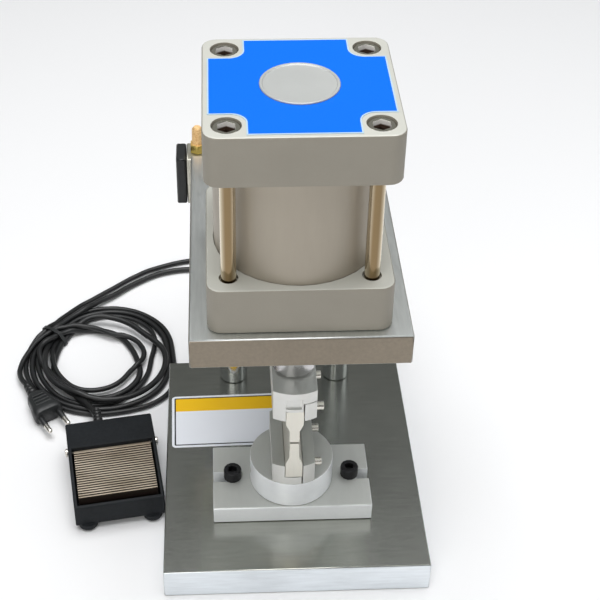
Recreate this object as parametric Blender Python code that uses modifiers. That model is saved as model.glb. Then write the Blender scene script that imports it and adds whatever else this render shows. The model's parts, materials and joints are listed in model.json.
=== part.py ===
"""A pneumatic capping press: a C-frame of two plates and two columns, a square tie-rod air
cylinder, a pair of closing dies, a solenoid valve and a foot switch on its lead.

Sizes are millimetres in the constants and become metres when a mesh is made. The origin is the
middle of the press axis on the surface that the base plate stands on, X to the right, Y to the
back and Z up.
"""

import math

import bmesh
import bpy
from mathutils import Matrix, Vector

MM = 0.001
GAP = 0.3

# Frame
BASE_LEFT, BASE_RIGHT, BASE_FRONT, BASE_BACK, BASE_TOP = -92.5, 95.0, -74.0, 142.0, 25.0
PLATE_LEFT, PLATE_RIGHT, PLATE_FRONT, PLATE_BACK, PLATE_THICK = -69.0, 70.0, -63.0, 143.0, 23.0
COLUMN_R, COLUMN_LENGTH, COLUMN_LEFT, COLUMN_RIGHT, COLUMN_Y = 11.0, 180.0, -40.0, 43.0, 126.0
PLATE_BOTTOM = BASE_TOP + COLUMN_LENGTH
PLATE_TOP = PLATE_BOTTOM + PLATE_THICK
PLATE_BORE_R = 17.0

# Cylinder
CAP_SIDE, CAP_THICK, CAP_CORNER_R, CAP_EDGE = 115.0, 33.5, 9.0, 1.2
TUBE_LENGTH, TUBE_R, BORE_R, TUBE_SEAT = 75.0, 52.6, 50.2, 3.0
HEAD_TOP = PLATE_TOP + CAP_THICK
CAP_BOTTOM = HEAD_TOP + TUBE_LENGTH
CAP_TOP = CAP_BOTTOM + CAP_THICK
TIE_OFFSET, TIE_R, TIE_HEAD_R, TIE_HEAD_H = 43.7, 4.8, 8.2, 9.5
TIE_SINK, TIE_THREAD = 1.0, 15.0
ROD_R, ROD_THREAD_R = 12.5, 8.0
PISTON_BOTTOM, PISTON_THICK = 263.0, 24.0
PORT_R, PORT_DEPTH = 6.4, 17.0
HEAD_PORT_Z = PLATE_TOP + 17.0
CAP_PORT_Z = CAP_BOTTOM + 16.5

# Tooling
BLOCK_X, BLOCK_Y, BLOCK_THICK, SLOT_W = 114.0, 61.0, 15.0, 9.4
BLOCK_TOP = BASE_TOP + BLOCK_THICK
BLOCK_SCREW_X = 42.7
SEAT_R, SEAT_TOP, SEAT_SPIGOT_R, SEAT_HOLE_Z = 30.0, 62.5, 10.0, 51.0
DIE_HALF_X, DIE_R = 15.0, 30.0
POCKET_HALF, JAW_X = 6.3, 6.6
DIE_GROWN = 1.0
LOWER_DIE_TOP, LOWER_POCKET_Z = 80.3, 69.4
UPPER_DIE_BOTTOM, UPPER_DIE_TOP, UPPER_POCKET_Z = 124.0, 149.5, 132.8
UPPER_JAW_TOP = 139.3
BLADE_FOOT_HALF, BLADE_HALF, BLADE_Y = 6.0, 3.4, 29.3
LOWER_CLAMP_Y, LOWER_CLAMP_Z = (-17.3, 15.7), 72.6
UPPER_CLAMP_Y, UPPER_CLAMP_Z = (-17.5, 13.4), 127.1
HOLDER_R, HOLDER_TOP = 14.8, 178.0

# Valve
VALVE_LEFT, VALVE_RIGHT = -72.5, -8.0
VALVE_FRONT, VALVE_DEPTH, VALVE_BOTTOM, VALVE_TOP = 143.8, 23.2, 184.0, 223.8
VALVE_Y, VALVE_BACK = 155.4, VALVE_FRONT + VALVE_DEPTH
SPOOL_Z = 204.0
EXHAUST_X, SUPPLY_X, OUTLET_X = (-64.0, -20.0), -42.0, (-53.0, -31.0)
PORT_THREAD_R = 4.6
HOSE_R = 3.0

# Foot switch, in its own frame: X across, Y to the back, Z up
SWITCH_X, SWITCH_Y, SWITCH_TURN = -125.8, -7.7, math.radians(9)
SHELL_HALF, SHELL_LENGTH, SHELL_BOTTOM, SHELL_WALL = 33.3, 84.0, 5.0, 2.6
LIP_TOP, HOOD_TOP, HOOD_FRONT = 23.7, 32.5, 53.0
PIN_Y, PIN_Z, PIN_R = 58.5, 23.0, 2.3
PEDAL_HALF, PEDAL_FRONT, PEDAL_BACK = 29.2, 7.5, 52.0
PEDAL_FRONT_Z, PEDAL_BACK_Z, PEDAL_PLATE, RIDGE_H, RIDGES = 26.6, 29.8, 1.8, 0.8, 20
PLUNGER_X, PLUNGER_Y, PLUNGER_TOP = 14.0, 40.0, 26.0

# Cords
FOOT_CORD_R, POWER_CORD_R = 2.5, 2.2
COIL_X, COIL_Y, COIL_OUTER_R, COIL_INNER_R, COIL_TOP = -153.5, 177.0, 58.0, 36.0, 18.0
FLOOR = 0.25

COLOURS = {
    # name: base colour, metallic, roughness
    "base_steel": ((0.46, 0.48, 0.49), 1.0, 0.30),
    "plate_steel": ((0.52, 0.51, 0.49), 1.0, 0.33),
    "column_chrome": ((0.80, 0.81, 0.82), 1.0, 0.10),
    "cylinder_alloy": ((0.53, 0.51, 0.47), 0.85, 0.42),
    "tube_alloy": ((0.58, 0.55, 0.51), 0.9, 0.36),
    "tie_chrome": ((0.68, 0.61, 0.52), 1.0, 0.16),
    "die_alloy": ((0.78, 0.78, 0.76), 0.95, 0.34),
    "blade_steel": ((0.72, 0.71, 0.68), 1.0, 0.28),
    "rod_chrome": ((0.70, 0.71, 0.72), 1.0, 0.14),
    "black_screw": ((0.02, 0.02, 0.022), 0.6, 0.42),
    "bright_screw": ((0.80, 0.79, 0.76), 1.0, 0.2),
    "bronze": ((0.55, 0.36, 0.16), 0.9, 0.4),
    "label_blue": ((0.0, 0.22, 0.95), 0.0, 0.38),
    "emblem_grey": ((0.55, 0.56, 0.56), 0.6, 0.4),
    "black_plastic": ((0.018, 0.019, 0.021), 0.0, 0.45),
    "valve_grey": ((0.74, 0.74, 0.70), 0.3, 0.45),
    "button_orange": ((0.80, 0.30, 0.05), 0.0, 0.4),
    "sintered": ((0.72, 0.48, 0.22), 0.7, 0.65),
    "fitting_brass": ((0.62, 0.50, 0.20), 1.0, 0.28),
    "hose_blue": ((0.05, 0.16, 0.50), 0.0, 0.35),
    "switch_black": ((0.025, 0.027, 0.031), 0.1, 0.5),
    "pedal_tan": ((0.42, 0.36, 0.28), 0.9, 0.38),
    "spring_steel": ((0.6, 0.6, 0.6), 1.0, 0.3),
    "cord_rubber": ((0.014, 0.014, 0.016), 0.0, 0.5),
}

for old in list(bpy.data.objects):
    bpy.data.objects.remove(old, do_unlink=True)

parts = bpy.data.collections.new("capping_press")
bpy.context.scene.collection.children.link(parts)
cutters = bpy.data.collections.new("cutters")
cutters.hide_render = True
bpy.context.scene.collection.children.link(cutters)


def material(colour_name):
    """The Principled material of that name, made the first time it is asked for."""
    found = bpy.data.materials.get(colour_name)
    if found:
        return found
    colour, metallic, roughness = COLOURS[colour_name]
    made = bpy.data.materials.new(colour_name)
    made.use_nodes = True
    shader = made.node_tree.nodes["Principled BSDF"]
    shader.inputs["Base Color"].default_value = (*colour, 1.0)
    shader.inputs["Metallic"].default_value = metallic
    shader.inputs["Roughness"].default_value = roughness
    made.diffuse_color = (*colour, 1.0)
    return made


def place(mesh, name, finish, smooth=False):
    """Puts a mesh in the scene: as a part with its finish, or as a cutter without one."""
    obj = bpy.data.objects.new(name, mesh)
    if finish:
        parts.objects.link(obj)
        mesh.materials.append(material(finish))
        for face in mesh.polygons:
            face.use_smooth = smooth
    else:
        cutters.objects.link(obj)
        obj.hide_render = True
        obj.display_type = "WIRE"
    return obj


def to_mesh(shape, name):
    mesh = bpy.data.meshes.new(name)
    bmesh.ops.recalc_face_normals(shape, faces=shape.faces)
    shape.to_mesh(mesh)
    shape.free()
    return mesh


def box(name, low, high, finish=None, edge=0.0, corner_r=0.0, corner_axis=2):
    """A box between two corners in mm, with rounded corners along one axis and a small edge bevel."""
    size = [b - a for a, b in zip(low, high)]
    middle = [(a + b) / 2 * MM for a, b in zip(low, high)]
    shape = bmesh.new()
    bmesh.ops.create_cube(shape, size=1.0)
    bmesh.ops.scale(shape, vec=[s * MM for s in size], verts=shape.verts)
    if corner_r:
        along = [
            e for e in shape.edges
            if abs((e.verts[0].co - e.verts[1].co).normalized()[corner_axis]) > 0.9
        ]
        bmesh.ops.bevel(
            shape, geom=along, offset=corner_r * MM, segments=5, profile=0.5, affect="EDGES"
        )
    obj = place(to_mesh(shape, name), name, finish)
    obj.location = middle
    if edge:
        add_bevel(obj, edge, 2 if corner_r else 1)
    return obj


def add_bevel(obj, width, segments=1, angle=40):
    bevel = obj.modifiers.new("edges", "BEVEL")
    bevel.width = width * MM
    bevel.segments = segments
    bevel.limit_method = "ANGLE"
    bevel.angle_limit = math.radians(angle)
    return bevel


def rod(name, radius, start, end, finish=None, sides=20):
    """A cylinder (or a hexagon, with 6 sides) from one point to another, in mm."""
    start, end = Vector(start) * MM, Vector(end) * MM
    shape = bmesh.new()
    bmesh.ops.create_cone(
        shape, cap_ends=True, segments=sides,
        radius1=radius * MM, radius2=radius * MM, depth=(end - start).length,
    )
    obj = place(to_mesh(shape, name), name, finish, smooth=bool(finish))
    obj.location = (start + end) / 2
    obj.rotation_mode = "QUATERNION"
    obj.rotation_quaternion = (end - start).to_track_quat("Z", "Y")
    return obj


def turned(name, profile, finish=None, origin=(0, 0, 0), axis="Z", steps=32, ring=False):
    """A profile of (radius, height) in mm, from the top down its outer side, turned about its axis.

    axis is Z, or X, Y or -Y, where the profile's height runs along that axis instead."""
    mesh = bpy.data.meshes.new(name)
    points = [(r * MM, 0.0, h * MM) for r, h in profile]
    edges = [(i, i + 1) for i in range(len(points) - 1)]
    if ring:
        edges.append((len(points) - 1, 0))
    mesh.from_pydata(points, edges, [])
    obj = place(mesh, name, finish)
    spin = obj.modifiers.new("turn", "SCREW")
    spin.steps = steps
    spin.render_steps = steps
    spin.use_merge_vertices = True
    spin.merge_threshold = 0.00001
    spin.use_smooth_shade = True
    obj.location = Vector(origin) * MM
    turns = {
        "Z": (0, 0, 0),
        "X": (0, math.pi / 2, 0),
        "Y": (-math.pi / 2, 0, 0),
        "-Z": (math.pi, 0, 0),
    }
    obj.rotation_euler = turns[axis]
    return obj


def outline_prism(name, points, low, high, finish=None, across="Y"):
    """A closed outline in mm, extruded along Y from (x, z) points, along X from (y, z), along Z from (x, y)."""
    curve = bpy.data.curves.new(name, "CURVE")
    curve.dimensions = "2D"
    curve.fill_mode = "BOTH"
    curve.extrude = (high - low) / 2 * MM
    spline = curve.splines.new("POLY")
    spline.points.add(len(points) - 1)
    for point, (a, b) in zip(spline.points, points):
        point.co = (a * MM, b * MM, 0.0, 1.0)
    spline.use_cyclic_u = True
    flat = bpy.data.objects.new(name + "_outline", curve)
    mesh = bpy.data.meshes.new_from_object(flat)
    bpy.data.objects.remove(flat)
    middle = (low + high) / 2 * MM
    turn = {
        "Z": Matrix.Translation((0, 0, middle)),
        "Y": Matrix.Translation((0, middle, 0)) @ Matrix.Rotation(math.pi / 2, 4, "X"),
        "X": Matrix(((0, 0, 1, middle), (1, 0, 0, 0), (0, 1, 0, 0), (0, 0, 0, 1))),
    }[across]
    shape = bmesh.new()
    shape.from_mesh(mesh)
    bmesh.ops.remove_doubles(shape, verts=shape.verts, dist=0.000001)
    bmesh.ops.transform(shape, matrix=turn, verts=shape.verts)
    return place(to_mesh(shape, name), name, finish)


def combine(obj, other, operation="DIFFERENCE"):
    """A Boolean of obj with another solid, which is kept only as a hidden helper."""
    step = obj.modifiers.new(operation.lower(), "BOOLEAN")
    step.operation = operation
    step.solver = "EXACT"
    step.object = other
    return obj


def drill(obj, radius, start, end, sides=20):
    return combine(obj, rod(obj.name + "_drill", radius, start, end, sides=sides))


def groove(obj, inner, outer, low, high, steps=36):
    """Cuts an annular groove about the Z axis."""
    cutter = turned(
        obj.name + "_groove",
        [(outer, high), (outer, low), (inner, low), (inner, high)],
        steps=steps, ring=True,
    )
    return combine(obj, cutter)


def smooth_route(route, step):
    """Points a step apart, in mm, along a smooth curve through the route's own points."""
    knots = [Vector(p) for p in route]
    knots = [2 * knots[0] - knots[1], *knots, 2 * knots[-1] - knots[-2]]
    fine = []
    for before, a, b, after in zip(knots, knots[1:], knots[2:], knots[3:]):
        slices = max(2, round((b - a).length / 1.0))
        for i in range(slices):
            t = i / slices
            fine.append(
                0.5 * (2 * a + (b - before) * t + (2 * before - 5 * a + 4 * b - after) * t * t
                       + (3 * a - before - 3 * b + after) * t ** 3)
            )
    fine.append(knots[-2])
    kept, walked = [fine[0]], 0.0
    for a, b in zip(fine, fine[1:]):
        walked += (b - a).length
        if walked >= step:
            kept.append(b)
            walked = 0.0
    if (kept[-1] - fine[-1]).length > step / 3:
        kept.append(fine[-1])
    else:
        kept[-1] = fine[-1]
    return kept


def tube(name, points, radius, finish, resolution=2):
    curve = bpy.data.curves.new(name, "CURVE")
    curve.dimensions = "3D"
    curve.bevel_depth = radius * MM
    curve.bevel_resolution = resolution
    curve.use_fill_caps = True
    spline = curve.splines.new("POLY")
    spline.points.add(len(points) - 1)
    for point, place_mm in zip(spline.points, points):
        point.co = (*(Vector(place_mm) * MM), 1.0)
    obj = bpy.data.objects.new(name, curve)
    curve.materials.append(material(finish))
    parts.objects.link(obj)
    return obj


def socket_screw(name, head_r, head_h, shank_r, shank, socket, at, finish, axis="Z"):
    """A cylinder-head screw: its head's seat is at the point, its head towards the axis."""
    chamfer = 0.08 * head_r
    profile = [
        (0, head_h), (head_r - chamfer, head_h), (head_r, head_h - chamfer), (head_r, 0),
        (shank_r, 0), (shank_r, -shank), (0, -shank),
    ]
    obj = turned(name, profile, finish, origin=at, axis=axis, steps=20 if head_r > 8 else 14)
    key = rod(name + "_key", socket / math.sqrt(3), (0, 0, head_h * 0.45), (0, 0, head_h + 1),
              sides=6)
    key.parent = obj
    return combine(obj, key)


# ---------------------------------------------------------------- frame


def make_frame():
    base = box(
        "base_plate", (BASE_LEFT, BASE_FRONT, 0), (BASE_RIGHT, BASE_BACK, BASE_TOP),
        "base_steel", edge=0.7,
    )
    top = box(
        "top_plate", (PLATE_LEFT, PLATE_FRONT, PLATE_BOTTOM),
        (PLATE_RIGHT, PLATE_BACK, PLATE_TOP), "plate_steel", edge=1.0,
    )
    drill(top, PLATE_BORE_R, (0, 0, PLATE_BOTTOM - 1), (0, 0, PLATE_TOP + 1), 28)
    for x in (-TIE_OFFSET, TIE_OFFSET):
        for y in (-TIE_OFFSET, TIE_OFFSET):
            drill(top, TIE_R + GAP, (x, y, PLATE_TOP - TIE_THREAD - 1), (x, y, PLATE_TOP + 1), 12)
    for x in (-BLOCK_SCREW_X, BLOCK_SCREW_X):
        drill(base, 4.3, (x, 0, 7), (x, 0, 26), 16)
    for side, x in (("left", COLUMN_LEFT), ("right", COLUMN_RIGHT)):
        drill(base, 6.4, (x, COLUMN_Y, BASE_TOP - 17), (x, COLUMN_Y, BASE_TOP + 1))
        drill(top, 4.4, (x, COLUMN_Y, PLATE_BOTTOM - 1), (x, COLUMN_Y, PLATE_TOP), 16)
        drill(top, 7.0, (x, COLUMN_Y, PLATE_TOP - 9), (x, COLUMN_Y, PLATE_TOP + 1))
        foot, head = BASE_TOP + GAP, PLATE_BOTTOM - GAP
        column = [
            (0, head - 26), (4.3, head - 26), (4.3, head), (COLUMN_R - 0.8, head),
            (COLUMN_R, head - 0.8), (COLUMN_R, foot + 0.8), (COLUMN_R - 0.8, foot), (6, foot),
            (6, foot - 15), (0, foot - 15),
        ]
        turned("column_" + side, column, "column_chrome", origin=(x, COLUMN_Y, 0), steps=24)
        socket_screw("column_screw_" + side, 6.5, 8, 4, 29, 6, (x, COLUMN_Y, PLATE_TOP - 8.7),
                     "black_screw")


# ---------------------------------------------------------------- tooling


def die_body(name, outline, finish):
    """A block of this (x, z) outline with its ends cut round about the press axis."""
    body = outline_prism(name, outline, -DIE_R - 3, DIE_R + 3, finish)
    low, high = min(z for _, z in outline) - 2, max(z for _, z in outline) + 2
    return combine(body, rod(name + "_round", DIE_R, (0, 0, low), (0, 0, high), sides=72),
                   "INTERSECT")


def make_lower_tooling():
    low = BASE_TOP + GAP
    block = box("seat_block", (-BLOCK_X / 2, -BLOCK_Y / 2, low), (BLOCK_X / 2, BLOCK_Y / 2, BLOCK_TOP),
                "die_alloy", edge=0.6)
    drill(block, SEAT_SPIGOT_R + GAP, (0, 0, low - 1), (0, 0, BLOCK_TOP + 1))
    for side, x in (("left", -BLOCK_SCREW_X), ("right", BLOCK_SCREW_X)):
        end = math.copysign(BLOCK_X / 2 + 2, x)
        drill(block, SLOT_W / 2, (x, 0, low - 1), (x, 0, BLOCK_TOP + 1), 20)
        slot = box("slot_" + side, (min(x, end), -SLOT_W / 2, low - 1),
                   (max(x, end), SLOT_W / 2, BLOCK_TOP + 1))
        combine(block, slot)
        socket_screw("block_screw_" + side, 6.5, 8, 4, 30, 6, (x, 0, BLOCK_TOP + GAP),
                     "black_screw")

    foot = BLOCK_TOP + GAP
    seat_profile = [
        (0, SEAT_TOP - 9.5), (SEAT_SPIGOT_R + GAP, SEAT_TOP - 9.5),
        (SEAT_SPIGOT_R + GAP, SEAT_TOP), (SEAT_R - 0.4, SEAT_TOP), (SEAT_R, SEAT_TOP - 0.4),
        (SEAT_R, foot + 0.4), (SEAT_R - 0.4, foot), (SEAT_SPIGOT_R, foot),
        (SEAT_SPIGOT_R, BASE_TOP + 2), (0, BASE_TOP + 2),
    ]
    seat = turned("die_seat", seat_profile, "die_alloy", steps=40)
    for end in (-1, 1):
        drill(seat, 5.2, (end * (SEAT_R - 8), 0, SEAT_HOLE_Z), (end * (SEAT_R + 2), 0, SEAT_HOLE_Z),
              16)
        drill(seat, 2.6, (end * (SEAT_R - 15), 0, SEAT_HOLE_Z), (end * (SEAT_R - 7), 0, SEAT_HOLE_Z),
              12)

    foot = SEAT_TOP + GAP
    left, floor_x = -DIE_HALF_X, JAW_X - DIE_GROWN
    die = die_body("lower_die_block", [
        (left, foot), (floor_x, foot), (floor_x, LOWER_POCKET_Z), (-POCKET_HALF, LOWER_POCKET_Z),
        (-POCKET_HALF, LOWER_DIE_TOP), (left, LOWER_DIE_TOP),
    ], "die_alloy")
    spigot = rod("lower_spigot", 5.0, (0, 0, foot - 8.5), (0, 0, foot + 2), sides=20)
    combine(die, spigot, "UNION")
    jaw = die_body("lower_clamp_jaw", [
        (JAW_X, foot), (DIE_HALF_X, foot), (DIE_HALF_X, LOWER_DIE_TOP), (JAW_X, LOWER_DIE_TOP),
    ], "die_alloy")
    blade = make_blade("lower_blade", [
        (BLADE_FOOT_HALF, LOWER_POCKET_Z + GAP), (BLADE_FOOT_HALF, 82.5), (BLADE_HALF, 88.8),
        (BLADE_HALF, 96.4), (BLADE_HALF - 0.25, 96.6), (BLADE_HALF - 0.25, 102.6),
    ])
    clamp("lower", (die, jaw, blade), LOWER_CLAMP_Y, LOWER_CLAMP_Z)


def make_blade(name, half):
    """A closing blade from the right half of its outline, from its foot to its edge."""
    outline = [(x, z) for x, z in half] + [(-x, z) for x, z in reversed(half)]
    return outline_prism(name, outline, -BLADE_Y, BLADE_Y, "blade_steel")


def clamp(half, pieces, places, z):
    """Two clamp screws through the jaw and the blade into the block's left cheek."""
    for place_name, y in zip(("front", "rear"), places):
        for piece in pieces:
            drill(piece, 2.3, (-DIE_HALF_X + 1.2, y, z), (DIE_HALF_X + 3, y, z), 12)
        socket_screw(f"{half}_clamp_screw_{place_name}", 2.9, 5.0, 2.0, 28.6, 2.5,
                     (DIE_HALF_X + GAP, y, z), "bright_screw", axis="X")


def make_upper_tooling():
    left, floor_x = -DIE_HALF_X, JAW_X - DIE_GROWN
    die = die_body("upper_die_block", [
        (left, UPPER_DIE_BOTTOM), (-POCKET_HALF, UPPER_DIE_BOTTOM), (-POCKET_HALF, UPPER_POCKET_Z),
        (floor_x, UPPER_POCKET_Z), (floor_x, UPPER_JAW_TOP + 0.5), (DIE_HALF_X, UPPER_JAW_TOP + 0.5),
        (DIE_HALF_X, UPPER_DIE_TOP), (left, UPPER_DIE_TOP),
    ], "die_alloy")
    drill(die, 5.3, (0, 0, UPPER_DIE_TOP - 8), (0, 0, UPPER_DIE_TOP + 1), 20)
    window = box("upper_window", (-POCKET_HALF, -DIE_R - 3, 135.5), (floor_x - 1, -DIE_R + 1.6, 144))
    combine(die, window)
    jaw = die_body("upper_clamp_jaw", [
        (JAW_X, UPPER_DIE_BOTTOM), (DIE_HALF_X, UPPER_DIE_BOTTOM), (DIE_HALF_X, UPPER_JAW_TOP),
        (JAW_X, UPPER_JAW_TOP),
    ], "die_alloy")
    blade = make_blade("upper_blade", [
        (BLADE_HALF, 104.1), (BLADE_HALF, 114.2), (BLADE_FOOT_HALF, 120.3),
        (BLADE_FOOT_HALF, UPPER_POCKET_Z - GAP),
    ])
    clamp("upper", (die, jaw, blade), UPPER_CLAMP_Y, UPPER_CLAMP_Z)
    foot = UPPER_DIE_TOP + GAP
    turned("tool_holder", [
        (0, foot + 10), (ROD_THREAD_R + GAP, foot + 10), (ROD_THREAD_R + GAP, HOLDER_TOP),
        (HOLDER_R - 1, HOLDER_TOP), (HOLDER_R, HOLDER_TOP - 1), (HOLDER_R, foot + 1.2),
        (HOLDER_R - 1.2, foot), (5.0, foot), (5.0, foot - 7.5), (0, foot - 7.5),
    ], "rod_chrome", steps=28)


# ---------------------------------------------------------------- cylinder


def square_cap(name, low, high):
    half = CAP_SIDE / 2
    return box(name, (-half, -half, low), (half, half, high), "cylinder_alloy", edge=CAP_EDGE,
               corner_r=CAP_CORNER_R)


def make_cylinder():
    bottom = PLATE_TOP + GAP
    head = square_cap("front_head", bottom, HEAD_TOP)
    cap = square_cap("rear_cap", CAP_BOTTOM, CAP_TOP)
    drill(head, PLATE_BORE_R, (0, 0, bottom - 1), (0, 0, HEAD_TOP + 1), 28)
    groove(head, BORE_R - GAP, TUBE_R + GAP, HEAD_TOP - TUBE_SEAT, HEAD_TOP + 1)
    groove(cap, BORE_R - GAP, TUBE_R + GAP, CAP_BOTTOM - 1, CAP_BOTTOM + TUBE_SEAT)
    drill(head, PORT_R, (0, CAP_SIDE / 2 - PORT_DEPTH, HEAD_PORT_Z), (0, CAP_SIDE / 2 + 2, HEAD_PORT_Z))
    drill(cap, PORT_R, (0, CAP_SIDE / 2 - PORT_DEPTH, CAP_PORT_Z), (0, CAP_SIDE / 2 + 2, CAP_PORT_Z))
    seat = CAP_TOP - TIE_SINK - TIE_HEAD_H
    corners = (("front_left", -1, -1), ("front_right", 1, -1), ("rear_left", -1, 1), ("rear_right", 1, 1))
    for corner, sx, sy in corners:
        x, y = sx * TIE_OFFSET, sy * TIE_OFFSET
        drill(head, TIE_R + GAP, (x, y, bottom - 1), (x, y, HEAD_TOP + 1), 12)
        drill(head, TIE_R + 1.1, (x, y, HEAD_TOP - 2.5), (x, y, HEAD_TOP + 1), 20)
        drill(cap, TIE_R + GAP, (x, y, CAP_BOTTOM - 1), (x, y, CAP_TOP), 12)
        drill(cap, TIE_HEAD_R + 0.6, (x, y, seat - GAP), (x, y, CAP_TOP + 1), 24)
        socket_screw("tie_bolt_" + corner, TIE_HEAD_R, TIE_HEAD_H, TIE_R,
                     seat - (PLATE_TOP - TIE_THREAD), 10, (x, y, seat), "tie_chrome")
    turned("barrel", [
        (TUBE_R, CAP_BOTTOM + TUBE_SEAT - GAP), (TUBE_R, HEAD_TOP - TUBE_SEAT + GAP),
        (BORE_R, HEAD_TOP - TUBE_SEAT + GAP), (BORE_R, CAP_BOTTOM + TUBE_SEAT - GAP),
    ], "tube_alloy", steps=48, ring=True)
    turned("rod_bush", [
        (PLATE_BORE_R - GAP, HEAD_TOP - 1), (PLATE_BORE_R - GAP, PLATE_TOP + 1),
        (ROD_R + GAP, PLATE_TOP + 1), (ROD_R + GAP, HEAD_TOP - 1),
    ], "bronze", steps=24, ring=True)
    top = PISTON_BOTTOM + PISTON_THICK
    thread_low = UPPER_DIE_TOP + 11
    turned("piston_rod", [
        (0, top - 1), (ROD_THREAD_R, top - 1), (ROD_THREAD_R, PISTON_BOTTOM - GAP),
        (ROD_R, PISTON_BOTTOM - GAP), (ROD_R, HOLDER_TOP + GAP), (ROD_THREAD_R, HOLDER_TOP + GAP),
        (ROD_THREAD_R, thread_low), (0, thread_low),
    ], "rod_chrome", steps=28)
    turned("piston", [
        (BORE_R - 0.4, top), (BORE_R - 0.4, top - 7), (BORE_R - 3, top - 8.5),
        (BORE_R - 3, PISTON_BOTTOM + 8.5), (BORE_R - 0.4, PISTON_BOTTOM + 7),
        (BORE_R - 0.4, PISTON_BOTTOM), (ROD_THREAD_R + GAP, PISTON_BOTTOM), (ROD_THREAD_R + GAP, top),
    ], "black_plastic", steps=24, ring=True)


def make_label():
    half, notch, notch_r = 54.4, 21.9, 9.0
    low = CAP_TOP + 0.05
    label = box("cap_label", (-half, -half, low), (half, half, low + 0.35), "label_blue")
    for sx in (-1, 1):
        for sy in (-1, 1):
            corner = (sx * half, sy * half)
            inner = (corner[0] - sx * notch, corner[1] - sy * notch)
            outer = (corner[0] + sx * 12, corner[1] + sy * 12)
            cutter = box(
                "label_notch", (min(inner[0], outer[0]), min(inner[1], outer[1]), CAP_TOP - 1),
                (max(inner[0], outer[0]), max(inner[1], outer[1]), CAP_TOP + 2), corner_r=notch_r,
            )
            combine(label, cutter)
    rim = low + 0.35 + 0.05
    turned("cap_emblem", [
        (0, rim + 0.5), (21.8, rim + 0.5), (22.4, rim + 1.1), (23.6, rim + 1.1), (24, rim + 0.7),
        (24, rim), (0, rim),
    ], "emblem_grey", steps=36)


# ---------------------------------------------------------------- valve and air


def union_with(obj, other):
    return combine(obj, other, "UNION")


def make_valve():
    body = box("valve_body", (VALVE_LEFT, VALVE_FRONT, VALVE_BOTTOM), (VALVE_RIGHT, VALVE_BACK, VALVE_TOP),
               "valve_grey", edge=0.8)
    drill(body, 5.4, (VALVE_LEFT - 1, VALVE_Y, SPOOL_Z), (VALVE_RIGHT + 1, VALVE_Y, SPOOL_Z), 20)
    for x in (*EXHAUST_X, SUPPLY_X):
        drill(body, PORT_THREAD_R, (x, VALVE_Y, SPOOL_Z + 3), (x, VALVE_Y, VALVE_TOP + 1), 16)
    for x in OUTLET_X:
        drill(body, PORT_THREAD_R, (x, VALVE_Y + 3, SPOOL_Z), (x, VALVE_BACK + 1, SPOOL_Z), 16)
    box("valve_end_cap", (VALVE_LEFT - GAP - 7.4, VALVE_FRONT, VALVE_BOTTOM),
        (VALVE_LEFT - GAP, VALVE_BACK, VALVE_TOP), "black_plastic", edge=1.0)
    lands = []
    for i in range(4):
        lands += [(5.0, 52 - 16 * i), (5.0, 44 - 16 * i), (3.4, 44 - 16 * i), (3.4, 36 - 16 * i)]
    turned("valve_spool", [(0, 52), *lands[:-2], (0, -4)], "spring_steel",
           origin=(VALVE_LEFT + 5, VALVE_Y, SPOOL_Z), axis="X", steps=12)
    pilot_left = VALVE_RIGHT + GAP
    pilot = box("pilot_head", (pilot_left, VALVE_FRONT, 190), (pilot_left + 15.5, VALVE_BACK, VALVE_TOP),
                "black_plastic", edge=0.8)
    button_x = pilot_left + 7
    drill(pilot, 2.7, (button_x, VALVE_Y, VALVE_TOP - 7), (button_x, VALVE_Y, VALVE_TOP + 1), 16)
    turned("override_button", [
        (0, VALVE_TOP + 1.2), (2.0, VALVE_TOP + 1.2), (2.3, VALVE_TOP + 0.9), (2.3, VALVE_TOP - 4.5),
        (0, VALVE_TOP - 4.5),
    ], "button_orange", origin=(button_x, VALVE_Y, 0), steps=16)
    coil_left = pilot_left + 15.5 + GAP
    coil = box("solenoid_coil", (coil_left, VALVE_FRONT, 192), (coil_left + 30, VALVE_BACK + 3, 221),
               "black_plastic", edge=1.5)
    union_with(coil, rod("coil_nut", 6.5, (coil_left + 28, VALVE_Y, 206), (coil_left + 35, VALVE_Y, 206),
                         sides=6))
    plug_front = VALVE_BACK + 3 + GAP
    connector = box("coil_connector", (coil_left + 1, plug_front, 193),
                    (coil_left + 29, plug_front + 19, 220), "black_plastic", edge=1.5)
    union_with(connector, rod("gland", 8.2, (GLAND_X, GLAND_Y, 186), (GLAND_X, GLAND_Y, 195), sides=6))
    union_with(connector, rod("gland_nose", 6.6, (GLAND_X, GLAND_Y, GLAND_Z), (GLAND_X, GLAND_Y, 188)))


def make_fitting(name, at, direction, reach):
    """A straight push-in fitting: a thread, a hexagon and a round collet, along a unit direction."""
    at, direction = Vector(at), Vector(direction)
    fitting = rod(name, 6.4, at + direction * GAP, at + direction * (reach * 0.6), "fitting_brass", 6)
    union_with(fitting, rod(name + "_thread", PORT_THREAD_R - 0.4, at - direction * 5,
                            at + direction * 2, sides=12))
    union_with(fitting, rod(name + "_collet", 5.0, at + direction * (reach * 0.5),
                            at + direction * reach, sides=16))
    drill(fitting, HOSE_R + 0.2, at + direction * (reach - 4), at + direction * (reach + 1), 12)


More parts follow.
